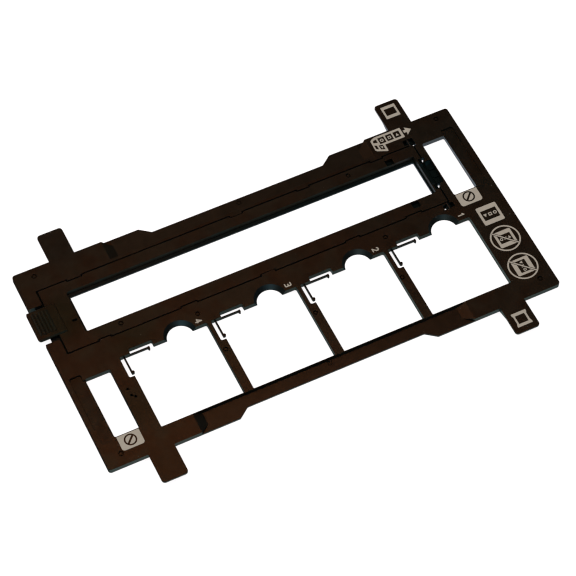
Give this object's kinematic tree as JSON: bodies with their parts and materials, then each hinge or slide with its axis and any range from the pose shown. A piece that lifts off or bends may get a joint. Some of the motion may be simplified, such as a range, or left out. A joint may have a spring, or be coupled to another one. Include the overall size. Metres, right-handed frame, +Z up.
{
  "type": "film and slide carrier",
  "caption": "Flat moulded carrier that holds a strip of 35 mm film under a hinged cover, and mounted slides in open spring-gripped pockets, on a scanner's glass.",
  "frame": {"origin": "centre of the moulded frame's outline, without its tabs and the cover's latch, on its bottom face", "axes": "+X along the film, from the cover's latch end to its hinge end; +Y from the slide pockets to the film channel; +Z up out of the top face"},
  "size_m": [0.2881, 0.1792, 0.0049],
  "materials": {
    "frame_plastic": "fine textured moulding, very dark warm brown-black",
    "cover_plastic": "fine textured moulding, very dark warm brown-black",
    "spring_plastic": "smooth moulding, very dark warm brown-black",
    "pivot_plastic": "smooth black pivot pin",
    "print_ink": "flat warm grey pad print"
  },
  "bodies": {
    "frame": {"base_frame": "frame_plastic", "hinge_pin_near": "pivot_plastic", "hinge_pin_far": "pivot_plastic", "window_label_left": "print_ink", "window_label_right": "print_ink", "slot_number_1": "print_ink", "slot_number_2": "print_ink", "slot_number_3": "print_ink", "slot_number_4": "print_ink", "film_direction_mark": "print_ink", "slide_ok_mark": "print_ink", "slide_wrong_mark_a": "print_ink", "slide_wrong_mark_b": "print_ink", "tab_mark_near": "print_ink", "tab_mark_far": "print_ink"},
    "cover": {"film_cover": "cover_plastic"},
    "side_spring_1": {"slide_spring_side_1": "spring_plastic"},
    "side_spring_2": {"slide_spring_side_2": "spring_plastic"},
    "side_spring_3": {"slide_spring_side_3": "spring_plastic"},
    "side_spring_4": {"slide_spring_side_4": "spring_plastic"},
    "top_spring_1": {"slide_spring_top_1": "spring_plastic"},
    "top_spring_2": {"slide_spring_top_2": "spring_plastic"},
    "top_spring_3": {"slide_spring_top_3": "spring_plastic"},
    "top_spring_4": {"slide_spring_top_4": "spring_plastic"}
  },
  "joints": [
    {"name": "cover_hinge", "type": "hinge", "parent": "frame", "child": "cover", "pos_m": [0.1099, 0.0315, 0.0024], "axis": [0, 1, 0], "range_deg": [0, 112]},
    {"name": "side_spring_1_flex", "type": "hinge", "parent": "frame", "child": "side_spring_1", "pos_m": [0.0656, -0.00585, 0.00085], "axis": [0, 0, -1], "range_deg": [0, 8]},
    {"name": "side_spring_2_flex", "type": "hinge", "parent": "frame", "child": "side_spring_2", "pos_m": [0.0086, -0.00585, 0.00085], "axis": [0, 0, -1], "range_deg": [0, 8]},
    {"name": "side_spring_3_flex", "type": "hinge", "parent": "frame", "child": "side_spring_3", "pos_m": [-0.0484, -0.00585, 0.00085], "axis": [0, 0, -1], "range_deg": [0, 8]},
    {"name": "side_spring_4_flex", "type": "hinge", "parent": "frame", "child": "side_spring_4", "pos_m": [-0.1054, -0.00585, 0.00085], "axis": [0, 0, -1], "range_deg": [0, 8]},
    {"name": "top_spring_1_flex", "type": "hinge", "parent": "frame", "child": "top_spring_1", "pos_m": [0.06865, -0.006, 0.00085], "axis": [0, 0, 1], "range_deg": [0, 6]},
    {"name": "top_spring_2_flex", "type": "hinge", "parent": "frame", "child": "top_spring_2", "pos_m": [0.01165, -0.006, 0.00085], "axis": [0, 0, 1], "range_deg": [0, 6]},
    {"name": "top_spring_3_flex", "type": "hinge", "parent": "frame", "child": "top_spring_3", "pos_m": [-0.04535, -0.006, 0.00085], "axis": [0, 0, 1], "range_deg": [0, 6]},
    {"name": "top_spring_4_flex", "type": "hinge", "parent": "frame", "child": "top_spring_4", "pos_m": [-0.10235, -0.006, 0.00085], "axis": [0, 0, 1], "range_deg": [0, 6]}
  ]
}
